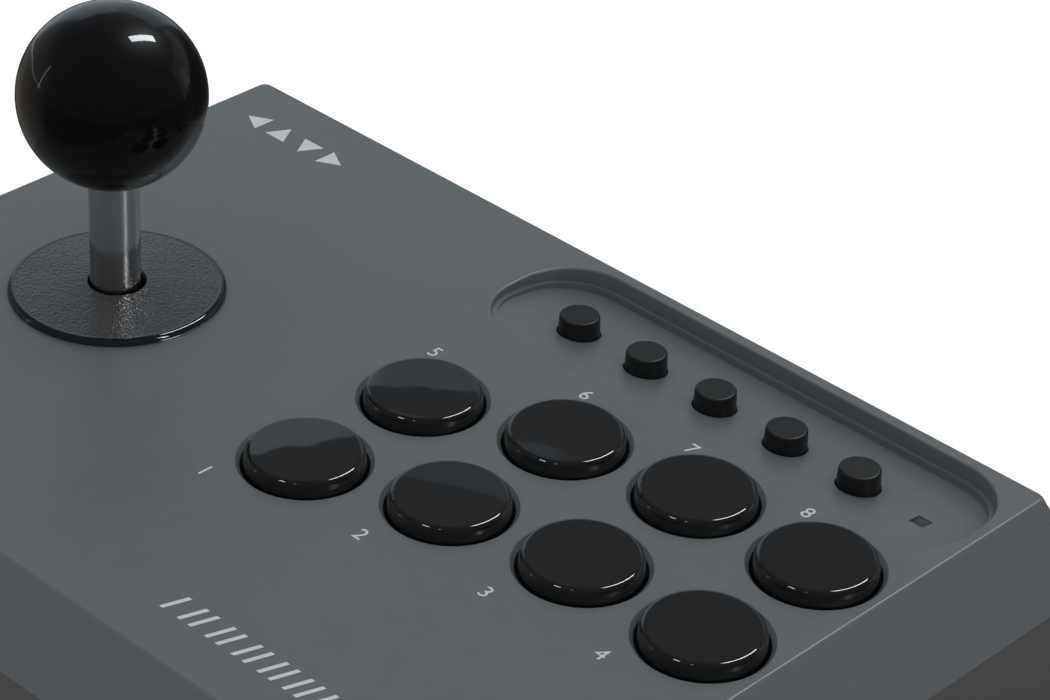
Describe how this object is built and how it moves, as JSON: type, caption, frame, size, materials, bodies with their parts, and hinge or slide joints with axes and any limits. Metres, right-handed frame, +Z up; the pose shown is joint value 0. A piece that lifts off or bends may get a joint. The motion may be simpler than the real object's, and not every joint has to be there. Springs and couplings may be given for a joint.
{
  "type": "arcade joystick panel",
  "caption": "Desk-top arcade control panel: ball-top lever with dust washer, round push buttons in staggered rows and small rubber buttons in a tilted recess.",
  "frame": {"origin": "on the resting surface, under the middle of the case's widest outline", "axes": "+X along the case from the lever to the buttons, +Y from the player's side to the back, +Z up"},
  "size_m": [0.2156, 0.1546, 0.105],
  "materials": {
    "case_plastic": "satin moulded, fine grain",
    "lower_plastic": "matt moulded, fine grain",
    "gloss_black": "polished black",
    "cap_black": "gloss black, moulded",
    "washer_black": "leather-grained top with a polished rim",
    "soft_black": "matt rubber",
    "polished_steel": "ground and polished",
    "zinc_steel": "bright zinc",
    "inner_black": "matt",
    "nylon_white": "natural nylon",
    "board_green": "solder mask",
    "dome_grey": "silicone rubber",
    "switch_blue": "moulded",
    "plunger_red": "moulded",
    "chip_black": "moulded epoxy",
    "window_smoke": "smoked clear",
    "led_white": "clear epoxy",
    "wire_grey": "wire sleeve"
  },
  "bodies": {
    "case": {"top_shell": "case_plastic", "bottom_shell": "lower_plastic", "rubber_feet": "soft_black", "case_screws": "zinc_steel", "cable_gland": "soft_black", "button_domes": "dome_grey", "main_board": "board_green", "small_board": "board_green", "small_button_domes": "dome_grey", "controller_chip": "chip_black", "indicator_led": "led_white", "indicator_window": "window_smoke", "board_screws": "zinc_steel", "board_ribbon": "wire_grey", "lever_housing": "inner_black", "lever_screws": "zinc_steel", "restrictor_gate": "nylon_white", "switch_board": "board_green", "microswitch_right": "switch_blue", "microswitch_back": "switch_blue", "microswitch_left": "switch_blue", "microswitch_front": "switch_blue", "lever_connector": "nylon_white", "board_connector": "nylon_white", "lever_wires": "wire_grey"},
    "spring": {"centring_spring": "zinc_steel"},
    "lever": {"ball_knob": "gloss_black", "shaft": "polished_steel", "pivot_ball": "nylon_white", "spring_washer": "zinc_steel", "actuator": "inner_black", "shaft_clip": "zinc_steel"},
    "under_washer": {"under_washer": "washer_black"},
    "dust_washer": {"dust_washer": "washer_black"},
    "button_1": {"button_1": "cap_black"},
    "button_2": {"button_2": "cap_black"},
    "button_3": {"button_3": "cap_black"},
    "button_4": {"button_4": "cap_black"},
    "button_5": {"button_5": "cap_black"},
    "button_6": {"button_6": "cap_black"},
    "button_7": {"button_7": "cap_black"},
    "button_8": {"button_8": "cap_black"},
    "small_button_1": {"small_button_1": "soft_black"},
    "small_button_2": {"small_button_2": "soft_black"},
    "small_button_3": {"small_button_3": "soft_black"},
    "small_button_4": {"small_button_4": "soft_black"},
    "small_button_5": {"small_button_5": "soft_black"},
    "plunger_right": {"plunger_right": "plunger_red"},
    "plunger_back": {"plunger_back": "plunger_red"},
    "plunger_left": {"plunger_left": "plunger_red"},
    "plunger_front": {"plunger_front": "plunger_red"}
  },
  "joints": [
    {"name": "lever_fore_aft", "type": "hinge", "parent": "case", "child": "spring", "pos_m": [-0.0583, -0.0035, 0.029], "axis": [1, 0, 0], "range_deg": [-9, 9], "stiffness_Nm_per_rad": 0.7, "deforming": ["centring_spring"]},
    {"name": "lever_side_to_side", "type": "hinge", "parent": "spring", "child": "lever", "pos_m": [-0.0583, -0.0035, 0.029], "axis": [0, 1, 0], "range_deg": [-9, 9], "stiffness_Nm_per_rad": 0.7, "deforming": ["centring_spring"]},
    {"name": "washer_fore_aft", "type": "slide", "parent": "case", "child": "under_washer", "axis": [0, 1, 0], "range_m": [-0.0032, 0.0032]},
    {"name": "washer_side_to_side", "type": "slide", "parent": "under_washer", "child": "dust_washer", "axis": [1, 0, 0], "range_m": [-0.0032, 0.0032]},
    {"name": "press_1", "type": "slide", "parent": "case", "child": "button_1", "axis": [0, 0, -1], "range_m": [0, 0.002], "stiffness_N_per_m": 250, "springref_m": -0.001, "deforming": ["button_domes"]},
    {"name": "press_2", "type": "slide", "parent": "case", "child": "button_2", "axis": [0, 0, -1], "range_m": [0, 0.002], "stiffness_N_per_m": 250, "springref_m": -0.001, "deforming": ["button_domes"]},
    {"name": "press_3", "type": "slide", "parent": "case", "child": "button_3", "axis": [0, 0, -1], "range_m": [0, 0.002], "stiffness_N_per_m": 250, "springref_m": -0.001, "deforming": ["button_domes"]},
    {"name": "press_4", "type": "slide", "parent": "case", "child": "button_4", "axis": [0, 0, -1], "range_m": [0, 0.002], "stiffness_N_per_m": 250, "springref_m": -0.001, "deforming": ["button_domes"]},
    {"name": "press_5", "type": "slide", "parent": "case", "child": "button_5", "axis": [0, 0, -1], "range_m": [0, 0.002], "stiffness_N_per_m": 250, "springref_m": -0.001, "deforming": ["button_domes"]},
    {"name": "press_6", "type": "slide", "parent": "case", "child": "button_6", "axis": [0, 0, -1], "range_m": [0, 0.002], "stiffness_N_per_m": 250, "springref_m": -0.001, "deforming": ["button_domes"]},
    {"name": "press_7", "type": "slide", "parent": "case", "child": "button_7", "axis": [0, 0, -1], "range_m": [0, 0.002], "stiffness_N_per_m": 250, "springref_m": -0.001, "deforming": ["button_domes"]},
    {"name": "press_8", "type": "slide", "parent": "case", "child": "button_8", "axis": [0, 0, -1], "range_m": [0, 0.002], "stiffness_N_per_m": 250, "springref_m": -0.001, "deforming": ["button_domes"]},
    {"name": "small_press_1", "type": "slide", "parent": "case", "child": "small_button_1", "axis": [0, 0, -1], "range_m": [0, 0.0008], "stiffness_N_per_m": 300, "springref_m": -0.001, "deforming": ["small_button_domes"]},
    {"name": "small_press_2", "type": "slide", "parent": "case", "child": "small_button_2", "axis": [0, 0, -1], "range_m": [0, 0.0008], "stiffness_N_per_m": 300, "springref_m": -0.001, "deforming": ["small_button_domes"]},
    {"name": "small_press_3", "type": "slide", "parent": "case", "child": "small_button_3", "axis": [0, 0, -1], "range_m": [0, 0.0008], "stiffness_N_per_m": 300, "springref_m": -0.001, "deforming": ["small_button_domes"]},
    {"name": "small_press_4", "type": "slide", "parent": "case", "child": "small_button_4", "axis": [0, 0, -1], "range_m": [0, 0.0008], "stiffness_N_per_m": 300, "springref_m": -0.001, "deforming": ["small_button_domes"]},
    {"name": "small_press_5", "type": "slide", "parent": "case", "child": "small_button_5", "axis": [0, 0, -1], "range_m": [0, 0.0008], "stiffness_N_per_m": 300, "springref_m": -0.001, "deforming": ["small_button_domes"]},
    {"name": "switch_right", "type": "slide", "parent": "case", "child": "plunger_right", "axis": [1, 0, 0], "range_m": [0, 0.0005], "stiffness_N_per_m": 400, "springref_m": -0.0005},
    {"name": "switch_back", "type": "slide", "parent": "case", "child": "plunger_back", "axis": [0, 1, 0], "range_m": [0, 0.0005], "stiffness_N_per_m": 400, "springref_m": -0.0005},
    {"name": "switch_left", "type": "slide", "parent": "case", "child": "plunger_left", "axis": [-1, 0, 0], "range_m": [0, 0.0005], "stiffness_N_per_m": 400, "springref_m": -0.0005},
    {"name": "switch_front", "type": "slide", "parent": "case", "child": "plunger_front", "axis": [0, -1, 0], "range_m": [0, 0.0005], "stiffness_N_per_m": 400, "springref_m": -0.0005}
  ],
  "couplings": [
    {"joint": "washer_fore_aft", "follows": "lever_fore_aft", "m_per_rad": -0.0191},
    {"joint": "washer_side_to_side", "follows": "lever_side_to_side", "m_per_rad": 0.0191}
  ]
}
